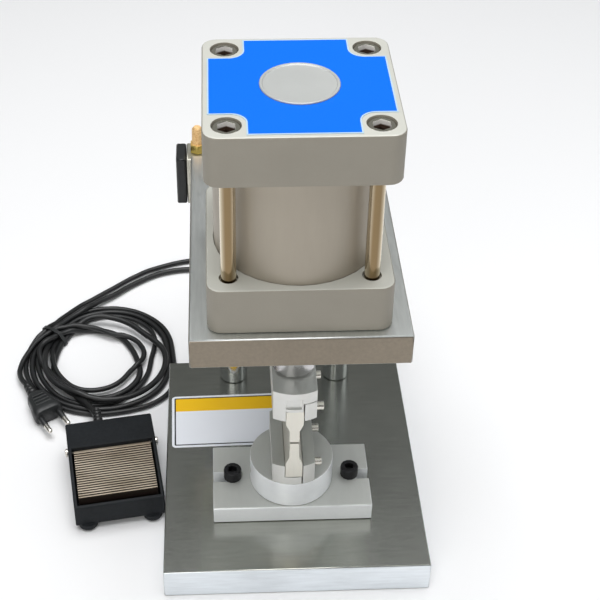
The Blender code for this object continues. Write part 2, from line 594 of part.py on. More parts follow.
def make_air():
    for side, x in zip(("left", "right"), EXHAUST_X):
        silencer = rod("silencer_" + side, 6.0, (x, VALVE_Y, VALVE_TOP + GAP),
                       (x, VALVE_Y, VALVE_TOP + 7.2), "fitting_brass", 6)
        union_with(silencer, rod("silencer_thread", PORT_THREAD_R - 0.4, (x, VALVE_Y, VALVE_TOP - 6),
                                 (x, VALVE_Y, VALVE_TOP + 2), sides=12))
        union_with(silencer, turned("silencer_stone", [
            (0, 21.5), (2.4, 21.2), (4.0, 19.2), (4.4, 4), (0, 4),
        ], origin=(x, VALVE_Y, VALVE_TOP), steps=16))
    make_fitting("supply_fitting", (SUPPLY_X, VALVE_Y, VALVE_TOP), (0, 0, 1), 18)
    for letter, x in zip("ab", OUTLET_X):
        make_fitting("valve_fitting_" + letter, (x, VALVE_BACK, SPOOL_Z), (0, 1, 0), 14)
    make_fitting("head_fitting", (0, CAP_SIDE / 2, HEAD_PORT_Z), (0, 1, 0), 14)
    elbow = rod("cap_fitting", 6.4, (0, CAP_SIDE / 2 + GAP, CAP_PORT_Z),
                (0, CAP_SIDE / 2 + 12, CAP_PORT_Z), "fitting_brass", 6)
    union_with(elbow, rod("cap_thread", PORT_THREAD_R, (0, CAP_SIDE / 2 - 5, CAP_PORT_Z),
                          (0, CAP_SIDE / 2 + 2, CAP_PORT_Z), sides=12))
    union_with(elbow, rod("cap_collet", 5.0, (0, CAP_SIDE / 2 + 6.5, CAP_PORT_Z - 14),
                          (0, CAP_SIDE / 2 + 6.5, CAP_PORT_Z), sides=16))
    drill(elbow, HOSE_R + 0.2, (0, CAP_SIDE / 2 + 6.5, CAP_PORT_Z - 15),
          (0, CAP_SIDE / 2 + 6.5, CAP_PORT_Z - 10), 12)
    tube("head_hose", smooth_route(HEAD_HOSE, 9), HOSE_R, "hose_blue", resolution=1)
    tube("cap_hose", smooth_route(CAP_HOSE, 9), HOSE_R, "hose_blue", resolution=1)


# ---------------------------------------------------------------- foot switch


def pedal_top(y):
    share = (y - PEDAL_FRONT) / (PEDAL_BACK - PEDAL_FRONT)
    return PEDAL_FRONT_Z + share * (PEDAL_BACK_Z - PEDAL_FRONT_Z)


def make_foot_switch():
    before = set(bpy.data.objects)
    back = SHELL_LENGTH
    shell = outline_prism("pedal_housing", [
        (0, SHELL_BOTTOM), (back, SHELL_BOTTOM), (back, 27), (back - 3, HOOD_TOP - 1.4),
        (HOOD_FRONT + 4, HOOD_TOP), (HOOD_FRONT - 3, HOOD_TOP), (0, LIP_TOP),
    ], -SHELL_HALF, SHELL_HALF, "switch_black", across="X")
    add_bevel(shell, 0.9)
    inner = SHELL_HALF - SHELL_WALL
    floor_z = SHELL_BOTTOM + 2.5
    combine(shell, box("well", (-inner, SHELL_WALL, floor_z), (inner, HOOD_FRONT, 60)))
    combine(shell, box("under_hood", (-inner, HOOD_FRONT - 1, floor_z),
                       (inner, back - SHELL_WALL, HOOD_TOP - 3.4)))
    drill(shell, PIN_R + GAP, (-40, PIN_Y, PIN_Z), (40, PIN_Y, PIN_Z), 16)
    for x in (-24, 24):
        for y in (4.5, back - 10):
            foot = turned("rubber_foot", [(0, 6), (7.2, 6), (7.2, 2), (5.2, 0.0), (0, 0.0)],
                          origin=(x, y, 0), steps=20)
            union_with(shell, foot)
    union_with(shell, rod("cord_boss", 5.0, (LEAD_X, back - 1.5, LEAD_Z), (LEAD_X, back + 5, LEAD_Z)))

    ridge = (PEDAL_BACK - PEDAL_FRONT) / RIDGES
    top_edge = []
    for i in range(RIDGES):
        y = PEDAL_FRONT + i * ridge
        top_edge += [
            (y + 0.05 * ridge, pedal_top(y)), (y + 0.55 * ridge, pedal_top(y)),
            (y + 0.7 * ridge, pedal_top(y) - RIDGE_H), (y + 0.95 * ridge, pedal_top(y) - RIDGE_H),
        ]
    under = RIDGE_H + PEDAL_PLATE
    outline = [
        (PEDAL_FRONT, 19), *top_edge, (PEDAL_BACK, pedal_top(PEDAL_BACK) - RIDGE_H),
        (PIN_Y + 4, PEDAL_BACK_Z - 3.0), (PIN_Y + 4, 18), (PIN_Y - 5, 17),
        (PEDAL_FRONT + 14, 18), (PEDAL_FRONT + 2, 19),
    ]
    pedal = outline_prism("foot_pedal", outline, -PEDAL_HALF, PEDAL_HALF, "pedal_tan", across="X")
    cheek = PEDAL_HALF - 1.8
    combine(pedal, outline_prism("pedal_hollow", [
        (PEDAL_FRONT + 1.8, 10), (PEDAL_FRONT + 1.8, pedal_top(PEDAL_FRONT) - under),
        (PEDAL_BACK, pedal_top(PEDAL_BACK) - under), (PIN_Y + 9, pedal_top(PEDAL_BACK) - under),
        (PIN_Y + 9, 10),
    ], -cheek, cheek, across="X"))
    drill(pedal, PIN_R + GAP, (-40, PIN_Y, PIN_Z), (40, PIN_Y, PIN_Z), 16)

    pin_half = SHELL_HALF + GAP
    turned("pedal_pin", [
        (0, pin_half + 2), (2.6, pin_half + 2), (3.2, pin_half + 1.4), (3.2, pin_half),
        (PIN_R, pin_half), (PIN_R, -pin_half), (3.2, -pin_half), (3.2, -pin_half - 1.4),
        (2.6, -pin_half - 2), (0, -pin_half - 2),
    ], "bright_screw", origin=(0, PIN_Y, PIN_Z), axis="X", steps=16)

    low, high, turns, spring_r = floor_z + 1.0, 24.2, 4, 5.0
    steps = turns * 10
    helix = [
        (-8 + spring_r * math.cos(2 * math.pi * i / 10),
         28 + spring_r * math.sin(2 * math.pi * i / 10), low + (high - low) * i / steps)
        for i in range(steps + 1)
    ]
    tube("pedal_spring", helix, 0.6, "spring_steel", resolution=1)

    switch = box("microswitch", (PLUNGER_X - 10, PLUNGER_Y - 5, floor_z + GAP),
                 (PLUNGER_X + 10, PLUNGER_Y + 5, PLUNGER_TOP - 5), "black_plastic", edge=0.5)
    drill(switch, 2.1, (PLUNGER_X, PLUNGER_Y, PLUNGER_TOP - 13),
          (PLUNGER_X, PLUNGER_Y, PLUNGER_TOP), 12)
    turned("switch_plunger", [
        (0, PLUNGER_TOP), (1.3, PLUNGER_TOP), (1.8, PLUNGER_TOP - 0.5), (1.8, PLUNGER_TOP - 9),
        (0, PLUNGER_TOP - 9),
    ], "button_orange", origin=(PLUNGER_X, PLUNGER_Y, 0), steps=12)

    frame = bpy.data.objects.new("foot_switch_frame", None)
    parts.objects.link(frame)
    frame.location = (SWITCH_X * MM, SWITCH_Y * MM, 0)
    frame.rotation_euler = (0, 0, SWITCH_TURN)
    for obj in set(bpy.data.objects) - before - {frame}:
        if obj.parent is None:
            obj.parent = frame


def in_world(x, y, z):
    """A point of the foot switch's own frame, in the world."""
    c, s = math.cos(SWITCH_TURN), math.sin(SWITCH_TURN)
    return (SWITCH_X + c * x - s * y, SWITCH_Y + s * x + c * y, z)


# ---------------------------------------------------------------- cords

GLAND_X, GLAND_Y, GLAND_Z = 23.5, 180.0, 181.0
LEAD_X, LEAD_Z = -7.6, 14.0

HEAD_HOSE = [
    (0, 71.8, 245), (0, 90, 245), (-1, 120, 247), (-4, 155, 250), (-10, 188, 247), (-19, 210, 234),
    (-27, 216, 218), (-31, 205, 205.5), (-31, 192, 204), (-31, 181.3, 204),
]
CAP_HOSE = [
    (0, 64, 338.7), (0, 64.5, 322), (-2, 70, 300), (-9, 92, 279), (-22, 125, 268),
    (-38, 165, 262), (-49, 198, 248), (-53, 214, 229), (-53, 211, 211), (-53, 198, 204.6),
    (-53, 181.3, 204),
]
FOOT_CORD = [
    (20.2, 180, 180.7), (20.2, 180.6, 160), (18, 185, 120), (12, 196, 70), (3, 215, 30),
    (-9, 243, 8), (-28, 271, 2.9), (-52, 289, 2.9), (-79, 294, 2.9), (-105, 288.5, 2.9),
    (-128.4, 272.7, 2.9), (-145, 256.5, 3.0), (-158, 244.5, 4), (-168, 237.8, 5.5),
]
POWER_CORD = [
    (27, 180, 180.7), (27.2, 181, 160), (29, 187, 120), (30, 202, 68), (25, 230, 28),
    (10, 262, 8), (-14, 290, 2.6), (-46, 306, 2.6), (-79, 307, 2.6), (-111.7, 295.5, 2.6),
    (-129, 284, 2.6), (-145.5, 268.5, 2.6), (-161.8, 253, 3), (-175, 240.5, 5), (-186, 229.5, 7),
]


def make_cords():
    end = in_world(LEAD_X, SHELL_LENGTH + 5 + GAP, LEAD_Z)
    away = in_world(LEAD_X, SHELL_LENGTH + 14, LEAD_Z)
    ring_start = (COIL_X - 14, COIL_Y - math.sqrt(COIL_OUTER_R ** 2 - 14 ** 2) - 3.4, 9)
    lead = [ring_start, (-160.5, 107, 11.5), away, end]
    tube("foot_cord", smooth_route(FOOT_CORD, 14), FOOT_CORD_R, "cord_rubber", resolution=1)
    tube("power_cord", smooth_route(POWER_CORD, 13), POWER_CORD_R, "cord_rubber", resolution=1)
    tube("foot_lead", smooth_route(lead, 9), FOOT_CORD_R, "cord_rubber")
    middle, round_r = (COIL_OUTER_R + COIL_INNER_R) / 2, 5.0
    turned("cord_coil", [
        (middle, COIL_TOP), (COIL_OUTER_R - round_r, COIL_TOP), (COIL_OUTER_R, COIL_TOP - round_r),
        (COIL_OUTER_R, round_r), (COIL_OUTER_R - round_r, FLOOR), (COIL_INNER_R + round_r, FLOOR),
        (COIL_INNER_R, round_r), (COIL_INNER_R, COIL_TOP - round_r),
        (COIL_INNER_R + round_r, COIL_TOP),
    ], "cord_rubber", origin=(COIL_X, COIL_Y, 0), steps=28, ring=True)
    plug = box("mains_plug", (-12, 0, 0), (12, 26, 15), "black_plastic", edge=2.0)
    for x in (-8, 8):
        union_with(plug, child_of(plug, rod("plug_pin", 2.4, (x, -19, 7.5), (x, 1, 7.5), sides=12)))
    union_with(plug, child_of(plug, rod("plug_neck", 5.0, (0, 24, 7.5), (0, 40, 7.5), sides=16)))
    turn = Matrix.Translation(Vector((PLUG_X, PLUG_Y, FLOOR)) * MM) @ Matrix.Rotation(PLUG_TURN, 4, "Z")
    plug.matrix_world = turn @ Matrix.Translation(plug.location)


def child_of(obj, other):
    """Keeps a helper with the piece that it shapes, both still in the piece's own frame."""
    other.location = other.location - obj.location
    other.parent = obj
    return other


PLUG_X, PLUG_Y, PLUG_TURN = -188.6, 102.1, math.radians(32)

make_frame()
make_lower_tooling()
make_upper_tooling()
make_cylinder()
make_label()
make_valve()
make_air()
make_foot_switch()
make_cords()
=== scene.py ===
import json
import math

import bmesh
import bpy
import numpy as np
from mathutils import Matrix, Vector


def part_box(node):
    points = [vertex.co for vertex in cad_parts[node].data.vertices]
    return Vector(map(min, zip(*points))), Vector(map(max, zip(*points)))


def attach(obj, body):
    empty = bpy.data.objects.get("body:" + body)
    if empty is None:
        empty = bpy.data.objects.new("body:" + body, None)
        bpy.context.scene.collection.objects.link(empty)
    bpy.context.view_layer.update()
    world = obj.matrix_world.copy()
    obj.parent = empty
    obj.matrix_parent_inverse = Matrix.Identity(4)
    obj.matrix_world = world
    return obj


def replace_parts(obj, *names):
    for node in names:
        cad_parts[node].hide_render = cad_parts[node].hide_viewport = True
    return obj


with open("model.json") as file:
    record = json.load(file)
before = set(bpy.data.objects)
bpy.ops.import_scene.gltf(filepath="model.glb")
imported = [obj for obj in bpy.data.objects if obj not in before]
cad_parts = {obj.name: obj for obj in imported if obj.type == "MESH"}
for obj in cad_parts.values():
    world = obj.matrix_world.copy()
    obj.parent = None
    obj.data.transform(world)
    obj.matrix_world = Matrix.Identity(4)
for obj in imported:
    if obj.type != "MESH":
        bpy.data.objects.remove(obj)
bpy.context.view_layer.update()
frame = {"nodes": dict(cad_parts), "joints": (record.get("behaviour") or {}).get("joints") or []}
nodes = frame["nodes"]
MM = 0.001
scene = bpy.context.scene


# ---------------------------------------------------------------- camera


def make_camera():
    """A long lens a little left of the press axis, looking down at the cylinder's front."""
    place = (-0.0468, -0.67109, 0.76171)
    yaw, pitch, roll = 0.0506, 0.6392, 0.0115
    forward = Vector((math.sin(yaw) * math.cos(pitch), math.cos(yaw) * math.cos(pitch),
                      -math.sin(pitch)))
    level = Vector((math.cos(yaw), -math.sin(yaw), 0))
    up = level.cross(forward)
    right = math.cos(roll) * level + math.sin(roll) * up
    up = math.cos(roll) * up - math.sin(roll) * level
    data = bpy.data.cameras.new("camera")
    data.sensor_width = 36
    data.lens = 79.27
    data.shift_x = 0.0396
    data.shift_y = -0.1122
    camera = bpy.data.objects.new("camera", data)
    scene.collection.objects.link(camera)
    turn = Matrix((right, up, -forward)).transposed().to_4x4()
    camera.matrix_world = Matrix.Translation(place) @ turn
    scene.camera = camera


make_camera()


# ---------------------------------------------------------------- cords

# Lengths here are in mm. RING is the coil's middle, and a tie holds the coil at TIE_ANGLE.
FOOT_R, POWER_R, HOSE_R = 2.5, 2.2, 3.0
RING = Vector((-154.0, 173.0, 0.0))
RING_R = 49.0
TIE_ANGLE = math.radians(144)

# The same routes as the solids have.
FOOT_ROUTE = [
    (20.2, 180, 180.7), (20.2, 180.6, 160), (18, 185, 120), (12, 196, 70), (3, 215, 30),
    (-9, 243, 8), (-28, 271, 2.9), (-52, 289, 2.9), (-79, 294, 2.9), (-105, 288.5, 2.9),
    (-128.4, 272.7, 2.9), (-145, 256.5, 3.0), (-160, 243.5, 3.4),
]
POWER_ROUTE = [
    (27, 180, 180.7), (27.2, 181, 160), (29, 187, 120), (30, 202, 68), (25, 230, 28),
    (10, 262, 8), (-14, 290, 2.6), (-46, 306, 2.6), (-79, 307, 2.6), (-111.7, 295.5, 2.6),
    (-129, 284, 2.6), (-145.5, 268.5, 2.6), (-161.8, 253, 3), (-176, 238.5, 3.6),
]
HEAD_HOSE = [
    (0, 71.8, 245), (0, 90, 245), (-1, 120, 247), (-4, 155, 250), (-10, 188, 247), (-19, 210, 234),
    (-27, 216, 218), (-31, 205, 205.5), (-31, 192, 204), (-31, 181.3, 204),
]
CAP_HOSE = [
    (0, 64, 338.7), (0, 64.5, 322), (-2, 70, 300), (-9, 92, 279), (-22, 125, 268),
    (-38, 165, 262), (-49, 198, 248), (-53, 214, 229), (-53, 211, 211), (-53, 198, 204.6),
    (-53, 181.3, 204),
]

# Each turn of the coil: its height, then its radius at every 36 degrees after the tie.
FOOT_TURNS = [
    (6.0, 54, 57, 60, 64, 66, 60, 62, 63, 57.5),
    (15.0, 46, 49, 52, 58, 58, 54, 44, 46, 50),
    (4.0, 42, 44, 47, 46, 40, 31, 30, 36, 42),
]
POWER_TURNS = [
    (3.0, 58, 60, 63, 68, 76, 64, 67, 67.5, 62),
    (9.0, 50, 52, 57, 56, 48, 44, 54, 57, 53.5),
    (11.0, 39, 40, 43, 40, 34, 38, 34, 28, 37),
]

# Where each cord's turns pass the tie: how far out from RING_R, and how high.
FOOT_SLOTS = [(5, 2.6), (0, 7), (-5, 2.6), (-2.5, 11.5)]
POWER_SLOTS = [(5, 7), (0, 2.6), (-5, 7), (2.5, 11.5)]

# From the coil to the switch housing's boss, and to the plug's neck.
FOOT_END = [
    (-203, 186, 13), (-200, 168, 13), (-189, 151, 13), (-175, 134, 13), (-163, 118.5, 13),
    (-155, 106, 13.5), (-150.3, 95, 14), (-148.2, 86.7, 14), (-147.0, 79.3, 14.0),
]
POWER_END = [
    (-208, 190, 10), (-216, 173, 7), (-219, 158, 6), (-216, 146, 7), (-210.2, 136.6, 7.75),
]


def on_ring(radius, angle, height):
    """The point at this radius and angle from the coil's middle, and this high."""
    return (RING.x + radius * math.cos(angle), RING.y + radius * math.sin(angle), height)


BUNDLE = Vector(on_ring(RING_R, TIE_ANGLE, 7.6))


def extended(knots):
    """The knots, with one more at each end in line with the last two."""
    return [2 * knots[0] - knots[1], *knots, 2 * knots[-1] - knots[-2]]


def between(before, a, b, after, t):
    """The smooth curve's value from a, at t = 0, to b, at t = 1."""
    return 0.5 * (2 * a + (b - before) * t + (2 * before - 5 * a + 4 * b - after) * t * t
                  + (3 * a - before - 3 * b + after) * t ** 3)


def smooth_route(route, step):
    """Points a step apart along a smooth curve through the route's own points."""
    knots = extended([Vector(p) for p in route])
    slice_length = 0.5
    fine = []
    for before, a, b, after in zip(knots, knots[1:], knots[2:], knots[3:]):
        slices = max(2, round((b - a).length / slice_length))
        fine += [between(before, a, b, after, i / slices) for i in range(slices)]
    fine.append(knots[-2])
    walked = np.concatenate([[0], np.cumsum([(b - a).length for a, b in zip(fine, fine[1:])])])
    count = max(2, round(walked[-1] / step) + 1)
    at = np.linspace(0, walked[-1], count)
    fine = np.array(fine)
    return np.stack([np.interp(at, walked, fine[:, i]) for i in range(3)], axis=1)


def coil_points(turns, slots):
    """Points round the ring, one turn for each row, which pass the tie in the given slots."""
    per_knot, steps = 3, 30
    slot_reach = 3.5
    points = []
    for turn, (level, *radii) in enumerate(turns):
        enter, leave = slots[turn], slots[turn + 1]
        knots = extended([RING_R + enter[0], *radii, RING_R + leave[0]])
        for i in range(steps):
            k, t = divmod(i / per_knot, 1)
            radius = between(*knots[int(k):int(k) + 4], t)
            angle = TIE_ANGLE + 2 * math.pi * i / steps
            near = max(0.0, 1 - min(i, steps - i) / slot_reach)
            height = near * (enter if i < steps / 2 else leave)[1] + (1 - near) * level
            points.append(on_ring(radius, angle, height))
    offset, height = slots[len(turns)]
    points.append(on_ring(RING_R + offset, TIE_ANGLE, height))
    return points


def settle(strands, radii, held, rounds=300):
    """Lets roughly laid cords settle on the floor and on each other, as chains of short links.

    held says how many points at each cord's start and end stay where they are."""
    fall, floor_gap, cord_gap = 0.1, 0.1, 0.12
    watched_gap, watched_rounds, joined = 2.5, 5, 6
    passes, lift, least = 3, 0.4, 1e-3
    tie_radius, tie_half_length, tie_reach, tie_pull = 9.6, 5, 22, 0.3
    sizes = [len(s) for s in strands]
    owner = np.repeat(np.arange(len(strands)), sizes)
    p = np.concatenate(strands)
    r = np.repeat(np.array(radii), sizes)
    free = np.ones(len(p), bool)
    starts = np.cumsum([0, *sizes])
    for k, (first, last) in enumerate(held):
        free[starts[k]:starts[k] + first] = False
        free[starts[k + 1] - last:starts[k + 1]] = False
    links = np.arange(len(p) - 1)[owner[:-1] == owner[1:]]
    rest = np.linalg.norm(p[links + 1] - p[links], axis=1)
    # each point keeps the bend it was laid with, over three reaches along its cord
    bends = []
    for reach, pull in ((1, 0.3), (3, 0.3), (7, 0.2)):
        at = np.arange(reach, len(p) - reach)
        at = at[(owner[at - reach] == owner[at + reach]) & free[at]]
        bends.append((reach, pull, at, p[at] - (p[at - reach] + p[at + reach]) / 2))
    index = np.arange(len(p))
    along = np.array([-math.sin(TIE_ANGLE), math.cos(TIE_ANGLE), 0.0])
    weight = free.astype(float)
    heading = np.gradient(p, axis=0)
    heading /= np.linalg.norm(heading, axis=1)[:, None]
    for count in range(rounds):
        # the pairs of points that may touch in the next few rounds
        if count % watched_rounds == 0:
            gap = np.linalg.norm(p[:, None] - p[None], axis=2)
            apart = np.abs(index[:, None] - index[None]) > joined
            close = gap < r[:, None] + r[None] + watched_gap
            close &= (owner[:, None] != owner[None]) | apart
            first, second = np.nonzero(np.triu(close))
            beside = np.abs((heading[first] * heading[second]).sum(axis=1)) ** 6
        p[free, 2] -= fall
        for reach, pull, at, bend in bends:
            p[at] += pull * (bend - (p[at] - (p[at - reach] + p[at + reach]) / 2))
        # the tie holds what passes through it
        from_bundle = p - np.array(BUNDLE)
        across = from_bundle - np.outer(from_bundle @ along, along)
        size = np.linalg.norm(across, axis=1)
        out = free & (np.abs(from_bundle @ along) < tie_half_length)
        out &= (size + r > tie_radius) & (size < tie_reach)
        p[out] -= tie_pull * across[out] * (1 - (tie_radius - r[out]) / size[out])[:, None]
        for _ in range(passes):
            # links keep their length, every second one at a time
            for half in (0, 1):
                at = links[half::2]
                d = p[at + 1] - p[at]
                length = np.linalg.norm(d, axis=1)
                share = weight[at] + weight[at + 1]
                share[share == 0] = 1
                change = d * ((length - rest[half::2]) / length / share)[:, None]
                p[at] += change * weight[at][:, None]
                p[at + 1] -= change * weight[at + 1][:, None]
            # crossing cords part upwards, and cords side by side part sideways
            d = p[second] - p[first]
            length = np.maximum(np.linalg.norm(d, axis=1), least)
            short = r[first] + r[second] + cord_gap - length
            hit = short > 0
            way = d[hit].copy()
            way[:, :2] *= beside[hit][:, None]
            way[:, 2] += np.where(way[:, 2] < 0, -lift, lift) * (1 - beside[hit])
            way /= np.maximum(np.linalg.norm(way, axis=1), least)[:, None]
            push = way * short[hit][:, None]
            a, b = first[hit], second[hit]
            moved, hits = np.zeros_like(p), np.zeros(len(p))
            np.add.at(moved, a, -0.5 * push)
            np.add.at(moved, b, 0.5 * push)
            np.add.at(hits, a, 1)
            np.add.at(hits, b, 1)
            some = (hits > 0) & free
            p[some] += moved[some] / np.maximum(1, 0.6 * hits[some])[:, None]
            low = free & (p[:, 2] < r + floor_gap)
            p[low, 2] = r[low] + floor_gap
    return np.split(p, starts[1:-1])


def cord_curve(name, points, radius, finish):
    """A round cord along these points."""
    curve = bpy.data.curves.new(name, "CURVE")
    curve.dimensions = "3D"
    curve.bevel_depth = radius * MM
    curve.bevel_resolution = 4
    curve.use_fill_caps = True
    spline = curve.splines.new("POLY")
    spline.points.add(len(points) - 1)
    flat = np.concatenate([np.array(points) * MM, np.ones((len(points), 1))], axis=1)
    spline.points.foreach_set("co", flat.ravel())
    spline.use_smooth = True
    obj = bpy.data.objects.new(name, curve)
    scene.collection.objects.link(obj)
    curve.materials.append(finish.material)
    return obj


# ---------------------------------------------------------------- materials


class Finish:
    """A node material, built step by step round its Principled shader."""

    def __init__(self, name, colour, metallic, roughness):
        self.material = bpy.data.materials.new(name)
        self.material.use_nodes = True
        self.tree = self.material.node_tree
        self.shader = self.tree.nodes["Principled BSDF"]
        self.shader.inputs["Metallic"].default_value = metallic
        self.shader.inputs["Roughness"].default_value = roughness
        self.shader.inputs["Base Color"].default_value = (*colour, 1)
        self.material.diffuse_color = (*colour, 1)
        self.at = self.add("ShaderNodeTexCoord").outputs["Object"]

    def add(self, kind, **inputs):
        node = self.tree.nodes.new(kind)
        for name, value in inputs.items():
            self.put(node.inputs[name.replace("_", " ")], value)
        return node

    def put(self, socket, value):
        if isinstance(value, bpy.types.NodeSocket):
            self.tree.links.new(value, socket)
        else:
            socket.default_value = value

    def noise(self, scale, detail=3.0, squeeze=(1, 1, 1)):
        """Noise with this many cells to a metre, times the squeeze along each axis."""
        placed = self.add("ShaderNodeMapping", Vector=self.at, Scale=squeeze)
        node = self.add("ShaderNodeTexNoise", Vector=placed.outputs[0], Scale=scale, Detail=detail,
                        Roughness=0.55)
        return node.outputs["Fac"]

    def span(self, value, low, high, start=0.0, end=1.0):
        """value's stretch from low to high, as start to end."""
        node = self.add("ShaderNodeMapRange", Value=value)
        for name, number in (("From Min", low), ("From Max", high), ("To Min", start),
                             ("To Max", end)):
            node.inputs[name].default_value = number
        return node.outputs["Result"]

    def maths(self, how, a, b=0.0):
        node = self.add("ShaderNodeMath")
        node.operation = how
        self.put(node.inputs[0], a)
        self.put(node.inputs[1], b)
        return node.outputs[0]

    def blend(self, share, a, b):
        """A colour between a and b."""
        node = self.add("ShaderNodeMix")
        node.data_type = "RGBA"
        self.put(node.inputs[0], share)
        for socket, colour in zip((node.inputs[6], node.inputs[7]), (a, b)):
            self.put(socket, colour if isinstance(colour, bpy.types.NodeSocket) else (*colour, 1))
        return node.outputs[2]

    def colour(self, value):
        self.put(self.shader.inputs["Base Color"], value)

    def rough(self, value):
        self.put(self.shader.inputs["Roughness"], value)

    def metal(self, value):
        self.put(self.shader.inputs["Metallic"], value)

    def bump(self, height, depth_mm):
        node = self.add("ShaderNodeBump", Height=height, Strength=1.0, Distance=depth_mm * MM)
        before = self.shader.inputs["Normal"]
        if before.is_linked:
            self.put(node.inputs["Normal"], before.links[0].from_socket)
        self.put(before, node.outputs[0])

    def facing(self, axis):
        """How far the surface faces along an axis, from -1 to 1."""
        geometry = self.add("ShaderNodeNewGeometry")
        split = self.add("ShaderNodeSeparateXYZ", Vector=geometry.outputs["Normal"])
        return split.outputs["XYZ".index(axis)]

    def level(self, low, high):
        """0 on upright faces, and 1 on those that face up or down."""
        return self.span(self.maths("ABSOLUTE", self.facing("Z")), low, high)

    def height(self):
        return self.add("ShaderNodeSeparateXYZ", Vector=self.at).outputs["Z"]


def srgb(red, green, blue):
    """A linear colour from eight-bit display values."""
    values = (red / 255, green / 255, blue / 255)
    return tuple(v / 12.92 if v < 0.04045 else ((v + 0.055) / 1.055) ** 2.4 for v in values)


def shades(tone, spread):
    """A darker and a lighter colour, this share below and above the tone."""
    return [tuple(min(1.0, c * k) for c in tone) for k in (1 - spread, 1 + spread)]


def ground_metal(name, top, streak, roughness, upright=None, upright_roughness=None, grain=0.09,
                 metallic=1.0, relief_mm=0.0012):
    """Metal with fine grinding lines along one direction and faint cloudy patches.

    The ground flats face up or down, and the milled edges may have their own gloss, and their
    own tone, which is painted light and shade standing in for how the light falls on them."""
    f = Finish(name, top, metallic, roughness)
    lines = f.noise(45, 4, streak)
    fine = f.noise(200, 3, streak)
    cloud = f.noise(11, 4)
    share = f.maths("ADD", f.maths("MULTIPLY", lines, 0.4), f.maths("MULTIPLY", cloud, 0.6))
    flat = f.level(0.6, 0.8)
    patch = f.span(share, 0.38, 0.62)
    # painted light and shade: upright faces and flats each get their own tone of the metal
    lit_and_shaded_tones = [f.blend(patch, *shades(tone, grain)) for tone in (upright or top, top)]
    f.colour(f.blend(flat, *lit_and_shaded_tones))
    base = f.span(flat, 0, 1, upright_roughness or roughness, roughness)
    uneven = fine if relief_mm else cloud
    f.rough(f.maths("ADD", base, f.span(uneven, 0.3, 0.7, -0.03, 0.04)))
    if relief_mm:
        f.bump(f.maths("ADD", lines, fine), relief_mm)
    return f


def bright_metal(name, colour, roughness, tint=None):
    """Plated or polished metal with faint handling marks, in the tint."""
    f = Finish(name, colour, 1.0, roughness)
    smear = f.noise(30, 5)
    f.rough(f.span(smear, 0.35, 0.7, roughness, roughness + 0.09))
    f.colour(f.blend(f.span(smear, 0.3, 0.75), colour, tint or tuple(c * 0.86 for c in colour)))
    return f


def moulded(name, colour, roughness, grain_mm=0.02, cells=900):
    """Moulded plastic or rubber with a fine grain and slight colour drift."""
    f = Finish(name, colour, 0.0, roughness)
    drift = f.span(f.noise(45, 3), 0.3, 0.7)
    f.colour(f.blend(drift, *(tuple(c * k for c in colour) for k in (0.85, 1.2))))
    grain = f.noise(cells, 2)
    f.rough(f.span(grain, 0.3, 0.7, roughness - 0.06, roughness + 0.08))
    f.bump(grain, grain_mm)
    return f


def cast_alloy(name, colour, roughness, metallic=0.9, drift=0.04, sand_mm=0.02, lit_flats_tone=None):
    """Fine blasted and anodised aluminium.

    Its flats may get a lighter tone of their own, which is painted light from above.
    """
    f = Finish(name, colour, metallic, roughness)
    sand = f.noise(1500, 2)
    cloud = f.span(f.noise(24, 4), 0.3, 0.7)
    blasted = f.blend(cloud, *shades(colour, drift))
    # painted light: flats that face up or down get the lighter tone, as if lit from above
    if lit_flats_tone:
        blasted = f.blend(f.level(0.8, 0.95), blasted, f.blend(cloud, *shades(lit_flats_tone, drift)))
    f.colour(blasted)
    f.rough(f.span(sand, 0.3, 0.7, roughness - 0.05, roughness + 0.07))
    f.bump(sand, sand_mm)
    return f


def bolt_with_painted_reflections(head, top):
    """Yellowish plating with a painted reflection: deep gold where the bolt faces the front, and
    paler round its sides and on its flat ends.

    Between the heights head and top is the socket head. It has a grey rim, and its socket has
    walls with a painted highlight near the top, and a floor painted dark as shade."""
    f = Finish("tie_chrome", srgb(200, 186, 158), 1.0, 0.13)
    height = f.height()
    flat = f.level(0.4, 0.7)
    # which way each face turns, for the painted reflection
    side = f.span(f.facing("Y"), -0.95, -0.45)
    in_head = f.span(height, head, head + 0.0005)
    wall_highlight_band = f.span(height, top - 0.0034, top - 0.0026)
    at_rim = f.span(height, top - 0.0014, top - 0.0010)
    # painted reflection: deep gold facing the front, pale round the sides and on the flat ends
    shank_reflection_tone = f.blend(side, srgb(136, 116, 86), srgb(226, 214, 190))
    shank_reflection_tone = f.blend(flat, shank_reflection_tone, srgb(212, 206, 196))
    # painted shade on the socket floor, and a painted highlight near the top of its walls
    face = f.blend(at_rim, srgb(62, 48, 40), srgb(176, 174, 162))
    wall = f.blend(wall_highlight_band, srgb(84, 66, 56), srgb(255, 253, 250))
    f.colour(f.blend(in_head, shank_reflection_tone, f.blend(flat, wall, face)))
    dull = f.maths("SUBTRACT", 1.0, f.span(flat, 0, 1, 0.15, 0.8))
    f.metal(f.maths("SUBTRACT", 1.0, f.maths("MULTIPLY", in_head, dull)))
    f.rough(f.span(f.noise(30, 5), 0.35, 0.7, 0.1, 0.2))
    return f


def silencer_finish(join):
    """A brass hexagon below, and a nose of sintered bronze grains above the join's height."""
    f = Finish("silencer", srgb(214, 186, 104), 1.0, 0.3)
    nose = f.span(f.height(), join - 0.0001, join + 0.0001)
    grains = f.noise(1100, 1)
    stone = f.blend(f.span(grains, 0.35, 0.65), srgb(222, 176, 116), srgb(250, 216, 160))
    f.colour(f.blend(nose, srgb(236, 210, 120), stone))
    f.metal(f.span(nose, 0, 1, 1.0, 0.35))
    f.rough(f.span(nose, 0, 1, 0.26, 0.62))
    f.bump(f.maths("MULTIPLY", grains, nose), 0.25)
    return f
